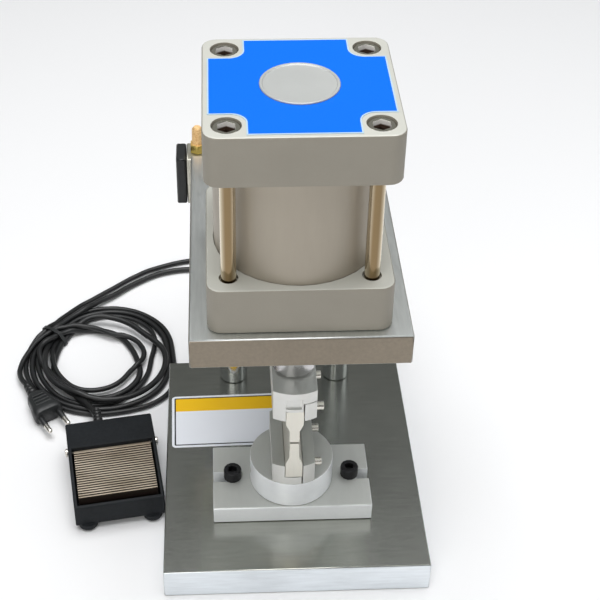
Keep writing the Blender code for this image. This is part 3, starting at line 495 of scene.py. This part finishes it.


# The second colour given to ground_metal, for upright faces, and the cylinder alloy's lighter flats
# are painted light and shade, standing in for how the light falls.
base_steel = ground_metal("base_steel", srgb(177, 178, 171), (1, 9, 9), 0.2,
                          srgb(228, 233, 237), 0.34)
plate_steel = ground_metal("plate_steel", srgb(220, 223, 221), (9, 1, 9), 0.38,
                           srgb(134, 125, 112), 0.36)
chrome = bright_metal("column_chrome", srgb(214, 217, 218), 0.14)
tie_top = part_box("tie_bolt_front_left")[1].z
TIE_HEAD_HEIGHT = 0.0095
tie_chrome = bolt_with_painted_reflections(tie_top - TIE_HEAD_HEIGHT, tie_top)
rod_chrome = bright_metal("rod_chrome", srgb(206, 204, 204), 0.2)
zinc = bright_metal("bright_screw", srgb(232, 228, 220), 0.16)
cap_alloy = cast_alloy("cylinder_alloy", srgb(146, 141, 130), 0.5, 0.25,
                       lit_flats_tone=srgb(197, 197, 189))
tube_alloy = ground_metal("tube_alloy", srgb(163, 155, 142), (2, 2, 0.3), 0.48,
                          grain=0.03, metallic=0.45)
die_alloy = ground_metal("die_alloy", srgb(196, 198, 194), (5, 1, 5), 0.3,
                         srgb(222, 222, 219), 0.42, grain=0.03, metallic=0.5, relief_mm=0)
seat_alloy = ground_metal("seat_alloy", srgb(196, 198, 194), (5, 1, 5), 0.3,
                          srgb(247, 250, 253), 0.3, grain=0.03, metallic=0.25, relief_mm=0)
blade_steel = ground_metal("blade_steel", srgb(206, 204, 196), (8, 1, 2), 0.3,
                           srgb(232, 229, 219), 0.4, grain=0.03, metallic=0.6)
black_oxide = Finish("black_screw", srgb(44, 44, 46), 0.7, 0.42)
black_oxide.rough(black_oxide.span(black_oxide.noise(300), 0.3, 0.7, 0.34, 0.5))
black_oxide.bump(black_oxide.noise(700, 2), 0.02)
bronze = cast_alloy("bronze", srgb(176, 132, 78), 0.42, 1.0)
piston_black = cast_alloy("piston_black", srgb(90, 90, 92), 0.45)
brass = bright_metal("fitting_brass", srgb(214, 186, 104), 0.24, srgb(186, 152, 76))
valve_grey = ground_metal("valve_grey", srgb(204, 202, 190), (1, 10, 10), 0.42, grain=0.04)
black_plastic = moulded("black_plastic", srgb(30, 32, 33), 0.42)
orange = moulded("button_orange", srgb(220, 108, 40), 0.4)
steel_wire = bright_metal("spring_steel", srgb(200, 200, 200), 0.25)
rubber = moulded("cord_rubber", srgb(22, 23, 24), 0.4, 0.01, 1200)
hose_blue = moulded("hose_blue", srgb(30, 78, 180), 0.3, 0.004)
shell_paint = moulded("switch_black", srgb(25, 28, 31), 0.58, 0.04, 420)
shell_paint.shader.inputs["Specular IOR Level"].default_value = 0.2
label_blue = cast_alloy("label_blue", srgb(0, 104, 224), 0.45, 0.0, 0.012, 0.006)
label_blue.shader.inputs["Specular IOR Level"].default_value = 0.15
label_border = cast_alloy("label_border", srgb(176, 200, 216), 0.42, 0.0, 0.02, 0.006)
sticker_white = cast_alloy("sticker_white", srgb(238, 241, 248), 0.4, 0.0, 0.012, 0.006)
sticker_line = cast_alloy("sticker_line", srgb(22, 24, 28), 0.4, 0.0, 0.02, 0.006)
sticker_yellow = cast_alloy("sticker_yellow", srgb(250, 198, 8), 0.4, 0.0, 0.02, 0.006)
emblem_metal = cast_alloy("emblem_grey", srgb(188, 190, 188), 0.44, 0.4)


def pedal_finish():
    """The tread: ridge tops of uneven, worn colour, with painted shade in the grooves and a painted
    shadow on the faces turned to the front.
    """
    turn = math.radians(9)
    hinge = next(joint for joint in frame["joints"] if joint["name"] == "pedal_hinge")["pos_m"]
    first_ridge, last_ridge, hinge_at, ridges, groove_middle = 7.5, 52.0, 58.5, 20, 0.82
    pitch = (last_ridge - first_ridge) / ridges * MM
    f = Finish("pedal_tan", srgb(186, 170, 144), 0.6, 0.44)
    along = Vector((-math.sin(turn), math.cos(turn), 0))

    def dot(vector):
        node = f.add("ShaderNodeVectorMath")
        node.operation = "DOT_PRODUCT"
        f.put(node.inputs[0], vector)
        node.inputs[1].default_value = along
        return node.outputs["Value"]

    offset = along.dot(Vector(hinge)) + (first_ridge - hinge_at) * MM
    share = f.maths("FRACT", f.maths("DIVIDE", f.maths("SUBTRACT", dot(f.at), offset), pitch))
    from_middle = f.maths("ABSOLUTE", f.maths("SUBTRACT", share, groove_middle))
    # painted shade: the grooves between the ridges are darkened
    groove = f.span(from_middle, 0.13, 0.25)
    wear = f.noise(26, 4, (1, 3, 1))
    top = f.blend(f.span(wear, 0.3, 0.7), srgb(160, 145, 125), srgb(208, 195, 176))
    # painted shadow on the tread's faces turned to the front
    lip_painted_shade = f.span(dot(f.add("ShaderNodeNewGeometry").outputs["Normal"]), -0.8, -0.6)
    f.colour(f.blend(lip_painted_shade, srgb(66, 56, 50), f.blend(groove, srgb(44, 37, 31), top)))
    f.rough(f.span(wear, 0.3, 0.7, 0.34, 0.52))
    f.bump(f.noise(700, 2), 0.03)
    return f


pedal_tan = pedal_finish()


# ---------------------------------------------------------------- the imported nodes


def smooth_group(name, angle, weld):
    """Geometry nodes that shade smooth up to an angle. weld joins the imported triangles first."""
    group = bpy.data.node_groups.new(name, "GeometryNodeTree")
    for way in ("INPUT", "OUTPUT"):
        group.interface.new_socket("Geometry", in_out=way, socket_type="NodeSocketGeometry")
    start, end = group.nodes.new("NodeGroupInput"), group.nodes.new("NodeGroupOutput")
    link = group.links.new
    geometry = start.outputs[0]
    if weld:
        merge = group.nodes.new("GeometryNodeMergeByDistance")
        merge.inputs["Distance"].default_value = 0.002 * MM
        link(geometry, merge.inputs["Geometry"])
        strip = group.nodes.new("GeometryNodeRemoveAttribute")
        strip.inputs["Name"].default_value = "custom_normal"
        link(merge.outputs[0], strip.inputs["Geometry"])
        geometry = strip.outputs[0]
    for domain in ("FACE", "EDGE"):
        shade = group.nodes.new("GeometryNodeSetShadeSmooth")
        shade.domain = domain
        link(geometry, shade.inputs["Geometry"])
        geometry = shade.outputs[0]
    edge = group.nodes.new("GeometryNodeInputMeshEdgeAngle")
    small = group.nodes.new("FunctionNodeCompare")
    small.operation = "LESS_THAN"
    small.inputs[1].default_value = math.radians(angle)
    link(edge.outputs["Unsigned Angle"], small.inputs[0])
    link(small.outputs[0], shade.inputs["Shade Smooth"])
    link(geometry, end.inputs[0])
    return group


WELD = smooth_group("weld_and_smooth", 40, True)
SMOOTH = smooth_group("smooth_by_angle", 52, False)


def shading(obj, group):
    """Adds one of the smooth groups as a modifier."""
    step = obj.modifiers.new(group.name, "NODES")
    step.node_group = group


def ease_edges(obj, width_mm):
    """Small rounded edges that catch the light, and flat faces that stay flat."""
    if width_mm:
        bevel = obj.modifiers.new("edges", "BEVEL")
        bevel.width = width_mm * MM
        bevel.segments = 2
        bevel.limit_method = "ANGLE"
        bevel.angle_limit = math.radians(42)
        bevel.use_clamp_overlap = False
        bevel.miter_outer = "MITER_ARC"
    shading(obj, SMOOTH)
    weighted = obj.modifiers.new("weighted", "WEIGHTED_NORMAL")
    weighted.keep_sharp = True


def dress(names, finish, edge_mm=0.0):
    """Gives these nodes a finish and rounds their edges."""
    for name in names.split():
        obj = nodes[name]
        obj.data.materials.clear()
        obj.data.materials.append(finish.material)
        shading(obj, WELD)
        flat = obj.modifiers.new("flat_faces", "DECIMATE")
        flat.decimate_type = "DISSOLVE"
        flat.angle_limit = math.radians(0.6)
        ease_edges(obj, edge_mm)


dress("base_plate", base_steel, 0.25)
dress("top_plate", plate_steel, 0.3)
dress("column_left column_right", chrome)
dress("column_screw_left column_screw_right block_screw_left block_screw_right", black_oxide, 0.15)
dress("seat_block die_seat", seat_alloy, 0.25)
dress("lower_die_block lower_clamp_jaw upper_die_block upper_clamp_jaw", die_alloy, 0.25)
dress("lower_blade upper_blade", blade_steel, 0.15)
dress("lower_clamp_screw_front lower_clamp_screw_rear upper_clamp_screw_front", zinc, 0.12)
dress("upper_clamp_screw_rear pedal_pin", zinc, 0.12)
dress("tool_holder piston_rod", rod_chrome, 0.2)
dress("piston", piston_black)
dress("front_head rear_cap", cap_alloy, 0.2)
dress("barrel", tube_alloy, 0.15)
dress("tie_bolt_front_left tie_bolt_front_right tie_bolt_rear_left tie_bolt_rear_right",
      tie_chrome, 0.2)
dress("rod_bush", bronze)
dress("cap_emblem", emblem_metal, 0.12)
dress("valve_body", valve_grey, 0.2)
dress("valve_end_cap pilot_head solenoid_coil coil_connector microswitch", black_plastic, 0.3)
dress("override_button switch_plunger", orange, 0.1)
dress("valve_spool pedal_spring", steel_wire)
dress("supply_fitting valve_fitting_a valve_fitting_b head_fitting cap_fitting", brass, 0.15)
NOSE_HEIGHT = 0.0143
silencer = silencer_finish(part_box("silencer_left")[1].z - NOSE_HEIGHT)
dress("silencer_left silencer_right", silencer, 0.12)
dress("pedal_housing", shell_paint, 0.35)
dress("foot_pedal", pedal_tan, 0.12)


# ---------------------------------------------------------------- cords in place


def make_cords():
    """Both cords from the valve to their ends, settled on the floor as one tied coil.

    Each cord stays on its solid's route, up to the route's fourth point from the end."""
    coarse, fine, held_at_end = 4.0, 2.5, 4
    strands = [
        smooth_route([*FOOT_ROUTE, *coil_points(FOOT_TURNS, FOOT_SLOTS), *FOOT_END], coarse),
        smooth_route([*POWER_ROUTE, *coil_points(POWER_TURNS, POWER_SLOTS), *POWER_END], coarse),
    ]
    held = []
    for strand, route in zip(strands, (FOOT_ROUTE, POWER_ROUTE)):
        gap = np.linalg.norm(strand - np.array(route[-4]), axis=1)
        held.append((int(np.argmin(gap[: len(strand) // 2])), held_at_end))
    strands = settle(strands, (FOOT_R, POWER_R), held)
    foot, power = (smooth_route(strand, fine) for strand in strands)
    foot_cord = cord_curve("foot_cord_full", foot, FOOT_R, rubber)
    power_cord = cord_curve("power_cord_full", power, POWER_R, rubber)
    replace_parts(foot_cord, "foot_cord", "foot_lead", "cord_coil")
    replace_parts(power_cord, "power_cord", "cord_coil")
    for cord in (foot_cord, power_cord):
        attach(cord, "frame")
    return (foot_cord, foot), (power_cord, power)


(foot_cord, foot_line), (power_cord, power_line) = make_cords()


def join_rings(shape, rings):
    """Faces between each ring of points and the next, as a list for each gap."""
    return [
        [
            shape.faces.new((low[i - 1], low[i], high[i], high[i - 1]))
            for i in [*range(1, len(low)), 0]
        ]
        for low, high in zip(rings, rings[1:])
    ]


def object_of(name, shape, *finishes):
    """Makes a bmesh an object with these finishes, its faces turned outwards."""
    bmesh.ops.recalc_face_normals(shape, faces=shape.faces)
    mesh = bpy.data.meshes.new(name)
    shape.to_mesh(mesh)
    shape.free()
    for finish in finishes:
        mesh.materials.append(finish.material)
    obj = bpy.data.objects.new(name, mesh)
    scene.collection.objects.link(obj)
    return obj


def lathe(name, profile, start, direction, finish, steps=24):
    """A profile of (radius, height) in mm, turned about a line from a point along a direction."""
    shape = bmesh.new()
    rings = []
    for radius, height in profile:
        if radius == 0:
            rings.append([shape.verts.new((0, 0, height * MM))])
            continue
        rings.append([
            shape.verts.new((radius * MM * math.cos(a), radius * MM * math.sin(a), height * MM))
            for a in (2 * math.pi * i / steps for i in range(steps))
        ])
    for low, high in zip(rings, rings[1:]):
        for i in range(steps):
            corners = [low[i % len(low)], low[(i + 1) % len(low)], high[(i + 1) % len(high)],
                       high[i % len(high)]]
            corners = list(dict.fromkeys(corners))
            if len(corners) > 2:
                shape.faces.new(corners)
    obj = object_of(name, shape, finish)
    obj.location = Vector(start) * MM
    obj.rotation_mode = "QUATERNION"
    obj.rotation_quaternion = Vector(direction).to_track_quat("Z", "Y")
    shading(obj, SMOOTH)
    return obj


def ribbed_boot(name, line, from_start, length, cord_r, root_r):
    """A tapered, ribbed strain relief that stays straight on the cord's first stretch."""
    start, on = (line[0], line[4]) if from_start else (line[-1], line[-5])
    ribs, groove, wall = 5, 0.45, 0.35
    profile = [(0, 0), (root_r, 0)]
    for i in range(ribs):
        share = i / ribs
        radius = root_r + (cord_r + 0.5 - root_r) * share
        at = length * (i + 0.35) / ribs
        profile += [(radius, at), (radius - groove, at + 0.08 * length / ribs),
                    (radius - groove, at + 0.45 * length / ribs),
                    (radius - 0.1, at + 0.55 * length / ribs)]
    profile += [(cord_r + wall, length), (0, length)]
    boot = lathe(name, profile, start, Vector(on) - Vector(start), rubber, 20)
    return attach(boot, "frame")


foot_boot = ribbed_boot("foot_cord_boot", foot_line, True, 22, FOOT_R, 3.3)
power_boot = ribbed_boot("power_cord_boot", power_line, True, 22, POWER_R, 3.3)
lead_boot = ribbed_boot("foot_lead_boot", foot_line, False, 20, FOOT_R, 4.4)


def make_plug():
    """A flat two-pin plug: a waisted grip with ribs, sleeved round pins and a ribbed tail."""
    turn = (Matrix.Translation(Vector((-188.6, 102.1, 0.25)) * MM)
            @ Matrix.Rotation(math.radians(32), 4, "Z"))
    around, squareness, axis_height = 40, 0.55, 7.5

    def placed(x, y, z):
        return (turn @ Vector((x * MM, y * MM, z * MM))) / MM

    shape = bmesh.new()
    rings = []
    for y, half_x, half_z in ((0, 11.2, 6.6), (0.8, 12, 7.3), (6, 12, 7.4), (11, 10.6, 6.6),
                              (17, 9.2, 6.2), (22, 8.6, 6.0), (25, 7.2, 5.6), (26, 6.2, 5.2)):
        ring = []
        for i in range(around):
            a = 2 * math.pi * i / around
            c, s = math.cos(a), math.sin(a)
            x = half_x * math.copysign(abs(c) ** squareness, c)
            z = half_z * math.copysign(abs(s) ** squareness, s)
            ring.append(shape.verts.new((x * MM, y * MM, (axis_height + z) * MM)))
        rings.append(ring)
    join_rings(shape, rings)
    shape.faces.new(rings[0])
    shape.faces.new(rings[-1])
    body = object_of("mains_plug_body", shape, black_plastic)
    body.matrix_world = turn
    shading(body, SMOOTH)
    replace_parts(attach(body, "frame"), "mains_plug")
    across = turn.to_3x3() @ Vector((1, 0, 0))
    along = turn.to_3x3() @ Vector((0, -1, 0))
    sleeve = [(0, 0), (2.4, 0), (2.4, 9.6), (2.2, 10), (0, 10)]
    pin = [(0, 0), (2.1, 0), (2.1, 16.4), (1.7, 18.2), (0.9, 19), (0, 19.2)]
    tail = [(0, 0), (5.2, 0), (4.9, 2.4), (4.2, 2.8), (4.2, 4.2), (4.6, 4.6), (4.4, 6.6), (3.8, 7),
            (3.8, 8.4), (4.1, 8.8), (3.8, 11), (3.3, 11.4), (3.2, 12.8), (3.5, 13.2), (3.0, 16),
            (0, 16)]
    pin_apart, pin_start = 8, 0.5
    ribs, first_rib, rib_pitch, rib_height, rib_r = 4, 9.5, 3.4, 13.9, 0.8
    made = []
    for side, x in (("left", -pin_apart), ("right", pin_apart)):
        start = placed(x, pin_start, axis_height)
        made.append(lathe("plug_sleeve_" + side, sleeve, start, along, black_plastic))
        made.append(lathe("plug_pin_" + side, pin, start, along, zinc))
    for i in range(ribs):
        # each rib narrows with the grip
        y = first_rib + rib_pitch * i
        half = (11.2 - 0.26 * (y - 8)) * 0.62
        bar = [(0, 0), (rib_r, 0.2), (rib_r, 2 * half - 0.2), (0, 2 * half)]
        made.append(lathe(f"plug_rib_{i + 1}", bar, placed(-half, y, rib_height), across,
                          black_plastic, 10))
    made.append(lathe("plug_tail", tail, placed(0, 25.5, axis_height), -along, rubber))
    for piece in made:
        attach(piece, "frame")
    return [body, *made]


plug_pieces = make_plug()


def make_tie():
    """A cable tie round the bundle, drawn tight on the cords' own cross-section there."""
    outward = Vector((math.cos(TIE_ANGLE), math.sin(TIE_ANGLE), 0))
    along = Vector((-math.sin(TIE_ANGLE), math.cos(TIE_ANGLE), 0))
    near, clearance, around = 16, 0.25, 24
    half_wide, thick, lowest = 1.7, 1.0, 0.05
    found = []
    for line, radius in ((foot_line, FOOT_R), (power_line, POWER_R)):
        rel = line - np.array(BUNDLE)
        side = rel @ np.array(along)
        for i in np.nonzero(side[:-1] * side[1:] <= 0)[0]:
            share = side[i] / (side[i] - side[i + 1]) if side[i] != side[i + 1] else 0
            at = rel[i] + share * (rel[i + 1] - rel[i])
            u, v = float(at @ np.array(outward)), float(at[2])
            if math.hypot(u, v) < near:
                found += [
                    (u + (radius + clearance) * math.cos(a), v + (radius + clearance) * math.sin(a))
                    for a in (2 * math.pi * k / around for k in range(around))
                ]
    found = sorted(set(found))

    def chain(points):
        """One side of the convex outline of sorted points."""
        kept = []
        for p in points:
            while len(kept) > 1 and (
                (kept[-1][0] - kept[-2][0]) * (p[1] - kept[-2][1])
                - (kept[-1][1] - kept[-2][1]) * (p[0] - kept[-2][0])
            ) <= 0:
                kept.pop()
            kept.append(p)
        return kept[:-1]

    shape = bmesh.new()
    rings = []
    for u, v in chain(found) + chain(reversed(found)):
        size = math.hypot(u, v)
        ring = []
        for wide, out in ((-half_wide, 0), (half_wide, 0), (half_wide, thick), (-half_wide, thick)):
            grown = (size + out) / size
            at = BUNDLE + outward * (u * grown) + along * wide + Vector((0, 0, v * grown))
            ring.append(shape.verts.new((at.x * MM, at.y * MM, max(at.z, lowest) * MM)))
        rings.append(ring)
    join_rings(shape, [*rings, rings[0]])
    tie = object_of("cable_tie", shape, black_plastic)
    shading(tie, SMOOTH)
    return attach(tie, "frame")


cable_tie = make_tie()

for hose_name, route in (("head_hose", HEAD_HOSE), ("cap_hose", CAP_HOSE)):
    line = smooth_route(route, 3.0)
    hose = cord_curve(hose_name + "_tube", line, HOSE_R, hose_blue)
    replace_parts(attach(hose, "frame"), hose_name)


# ---------------------------------------------------------------- label and sticker


def make_label():
    """The cap's printed film, with a pale border, as one thin plate with notched corners."""
    low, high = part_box("cap_label")
    half, notch, fillet, border = high.x, 0.0219, 0.009, 0.0009
    inner = half - notch
    middle = inner + fillet
    corner = [
        (middle + fillet * math.cos(a), middle + fillet * math.sin(a))
        for a in (math.radians(270 - 90 * i / 12) for i in range(13))
    ]
    quarter = [(half, inner), *corner, (inner, half)]
    outline = []
    for turn in range(4):
        c, s = round(math.cos(turn * math.pi / 2)), round(math.sin(turn * math.pi / 2))
        outline += [(c * x - s * y, s * x + c * y) for x, y in quarter]
    shape = bmesh.new()
    edge, bottom = ([shape.verts.new((x, y, z)) for x, y in outline] for z in (high.z, low.z))
    top = shape.faces.new(edge)
    join_rings(shape, [bottom, edge])
    shape.faces.new(bottom[::-1])
    for face in shape.faces:
        face.material_index = 1
    shape.normal_update()
    bmesh.ops.inset_region(shape, faces=[top], thickness=border, use_even_offset=True)
    top.material_index = 0
    film = object_of("cap_label_film", shape, label_blue, label_border)
    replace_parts(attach(film, "frame"), "cap_label")


make_label()


def make_sticker():
    """A plain two-colour sticker on the base, with a thin dark frame and nothing printed in it."""
    wide, deep, corner = 100.0, 56.0, 3.2
    line_from, line_to, level = 2.0, 3.1, 0.16
    band_start = (deep / 2 - 17.0) * MM

    def outline(inset):
        r = max(corner - inset, 0.8)
        mid_x, mid_y = wide / 2 - inset - r, deep / 2 - inset - r
        return [
            (side_x * mid_x + r * math.cos(a), side_y * mid_y + r * math.sin(a))
            for side_x, side_y, first in ((1, 1, 0), (-1, 1, 90), (-1, -1, 180), (1, -1, 270))
            for a in (math.radians(first + 15 * i) for i in range(7))
        ]

    shape = bmesh.new()
    rings = [[shape.verts.new((x * MM, y * MM, z * MM)) for x, y in outline(inset)]
             for inset, z in ((0, 0.02), (0, level), (line_from, level), (line_to, level))]
    for face in join_rings(shape, rings)[-1]:
        face.material_index = 1
    shape.faces.new(rings[0][::-1])
    inner = shape.faces.new(rings[-1])
    bmesh.ops.bisect_plane(shape, geom=[inner, *inner.edges, *inner.verts],
                           plane_co=(0, band_start, level * MM), plane_no=(0, 1, 0))
    # of the two faces inside the line, the one behind the cut is the band
    for face in shape.faces:
        middle = face.calc_center_median()
        inside = abs(middle.x) < 0.01 and middle.z > 0.0001 and face.material_index == 0
        if inside and band_start < middle.y < (deep / 2 - line_to) * MM:
            face.material_index = 2
    sticker = object_of("base_sticker", shape, sticker_white, sticker_line, sticker_yellow)
    base_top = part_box("base_plate")[1].z
    sticker.location = (-0.0391, 0.0742, base_top)
    sticker.rotation_euler = (0, 0, math.radians(1.2))
    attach(sticker, "frame")


make_sticker()


# ---------------------------------------------------------------- studio


def make_studio():
    """A white floor, a soft sky that is darkest partway up, and three lamps."""
    mesh = bpy.data.meshes.new("studio_floor")
    side = 6.0
    mesh.from_pydata([(-side, -side, 0), (side, -side, 0), (side, side, 0), (-side, side, 0)], [],
                     [(0, 1, 2, 3)])
    floor = bpy.data.objects.new("studio_floor", mesh)
    scene.collection.objects.link(floor)
    paper = Finish("studio_paper", srgb(240, 240, 241), 0.0, 0.9)
    mesh.materials.append(paper.material)

    world = bpy.data.worlds.new("studio")
    scene.world = world
    world.use_nodes = True
    tree = world.node_tree
    sky = tree.nodes["Background"]
    place = tree.nodes.new("ShaderNodeTexCoord")
    split = tree.nodes.new("ShaderNodeSeparateXYZ")
    tree.links.new(place.outputs["Generated"], split.inputs[0])
    ramp = tree.nodes.new("ShaderNodeValToRGB")
    tree.links.new(split.outputs["Z"], ramp.inputs[0])
    stops = ramp.color_ramp.elements
    stops[0].position, stops[0].color = 0.0, (0.34, 0.33, 0.31, 1)
    stops[1].position, stops[1].color = 1.0, (1.0, 1.0, 1.0, 1)
    for at, colour in ((0.3, (0.2, 0.2, 0.19, 1)), (0.62, (0.13, 0.135, 0.125, 1)),
                       (0.8, (0.3, 0.31, 0.32, 1)), (0.93, (0.8, 0.82, 0.85, 1))):
        stops.new(at).color = colour
    tree.links.new(ramp.outputs[0], sky.inputs["Color"])
    sky.inputs["Strength"].default_value = 0.9

    aim = Vector((0, 0.03, 0.15))
    for name, place, size, power, tint in (
        ("overhead", (0.0, 0.1, 1.8), 1.5, 29.0, (1.0, 1.0, 1.0)),
        ("key", (-0.5, -1.4, 0.8), 0.9, 8.0, (1.0, 0.99, 0.97)),
        ("side", (1.3, 0.1, 0.8), 0.8, 2.0, (0.95, 0.98, 1.0)),
    ):
        data = bpy.data.lights.new(name, "AREA")
        data.shape = "SQUARE"
        data.size = size
        data.energy = power
        data.color = tint
        lamp = bpy.data.objects.new(name, data)
        scene.collection.objects.link(lamp)
        lamp.location = place
        lamp.rotation_mode = "QUATERNION"
        lamp.rotation_quaternion = (aim - Vector(place)).to_track_quat("-Z", "Y")
    scene.view_settings.view_transform = "Standard"


make_studio()
